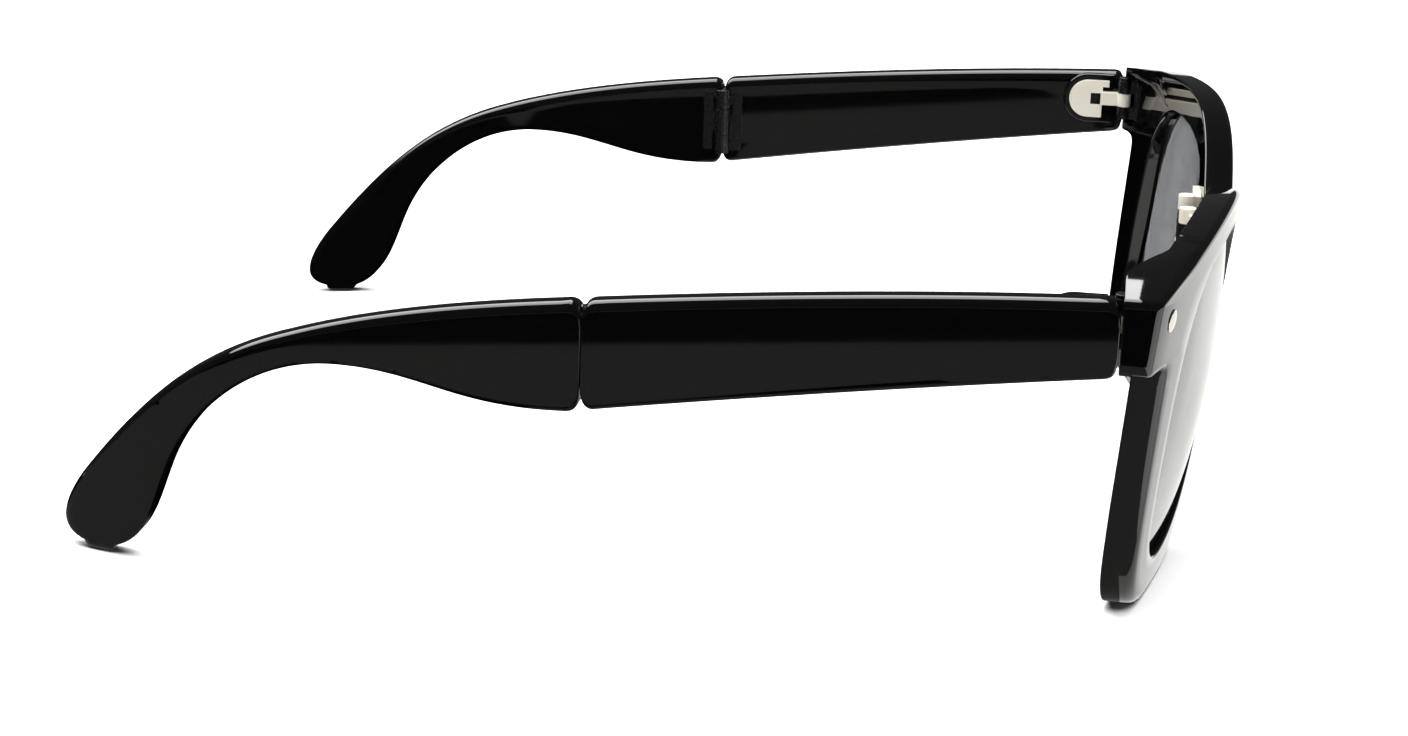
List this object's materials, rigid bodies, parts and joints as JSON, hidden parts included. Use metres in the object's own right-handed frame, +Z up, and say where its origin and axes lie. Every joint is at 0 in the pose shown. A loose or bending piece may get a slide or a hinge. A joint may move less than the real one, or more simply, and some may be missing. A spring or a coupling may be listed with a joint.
{
  "type": "folding sunglasses",
  "caption": "Glossy black folding sunglasses with a full trapezoid rim, tinted lenses, arms that fold at the hinge and at mid length, and a bridge that folds on a short pinned link.",
  "frame": {"origin": "on the floor, under the middle of the open pair's length and width", "axes": "+Z up, -Y the way the front faces, +Y along the arms to the ear tips, -X the wearer's right"},
  "size_m": [0.145, 0.1474, 0.0492],
  "materials": {
    "black_frame": "polished black acetate",
    "black_arm": "polished black acetate",
    "grey_lens": "neutral grey tint, polished",
    "hinge_metal": "warm nickel, satin",
    "rivet_metal": "polished",
    "dark_metal": "black lacquer",
    "core_steel": "plain"
  },
  "bodies": {
    "bridge": {"bridge_link": "dark_metal", "bridge_pins": "hinge_metal"},
    "right_front": {"right_front_frame": "black_frame", "right_lens": "grey_lens", "right_bridge_leaf": "hinge_metal", "right_bridge_screws": "hinge_metal", "right_front_hinge_leaf": "dark_metal", "right_hinge_screw": "dark_metal", "right_front_rivet": "rivet_metal"},
    "right_arm": {"right_arm_front": "black_arm", "right_temple_hinge_leaf": "hinge_metal", "right_leaf_anchor": "hinge_metal", "right_fold_leaf_front": "dark_metal", "right_fold_pin": "dark_metal"},
    "right_ear_tip": {"right_arm_rear": "black_arm", "right_fold_leaf_rear": "dark_metal", "right_tip_core": "core_steel"},
    "left_front": {"left_front_frame": "black_frame", "left_lens": "grey_lens", "left_bridge_leaf": "hinge_metal", "left_bridge_screws": "hinge_metal", "left_front_hinge_leaf": "dark_metal", "left_hinge_screw": "dark_metal", "left_front_rivet": "rivet_metal"},
    "left_arm": {"left_arm_front": "black_arm", "left_temple_hinge_leaf": "hinge_metal", "left_leaf_anchor": "hinge_metal", "left_fold_leaf_front": "dark_metal", "left_fold_pin": "dark_metal"},
    "left_ear_tip": {"left_arm_rear": "black_arm", "left_fold_leaf_rear": "dark_metal", "left_tip_core": "core_steel"}
  },
  "joints": [
    {"name": "right_bridge_hinge", "type": "hinge", "parent": "bridge", "child": "right_front", "pos_m": [-0.004, -0.067, 0.036], "axis": [0, 0, 1], "range_deg": [-40, 0]},
    {"name": "right_temple_hinge", "type": "hinge", "parent": "right_front", "child": "right_arm", "pos_m": [-0.0668, -0.0578, 0.0405], "axis": [0, 0, 1], "range_deg": [-82, 0]},
    {"name": "right_arm_fold", "type": "hinge", "parent": "right_arm", "child": "right_ear_tip", "pos_m": [-0.06718, 0.00801, 0.0327], "axis": [0, 0, 1], "range_deg": [-180, 0]},
    {"name": "left_bridge_hinge", "type": "hinge", "parent": "bridge", "child": "left_front", "pos_m": [0.004, -0.067, 0.036], "axis": [0, 0, 1], "range_deg": [0, 40]},
    {"name": "left_temple_hinge", "type": "hinge", "parent": "left_front", "child": "left_arm", "pos_m": [0.0668, -0.0578, 0.0405], "axis": [0, 0, 1], "range_deg": [0, 82]},
    {"name": "left_arm_fold", "type": "hinge", "parent": "left_arm", "child": "left_ear_tip", "pos_m": [0.06718, 0.00801, 0.0327], "axis": [0, 0, 1], "range_deg": [0, 180]}
  ]
}
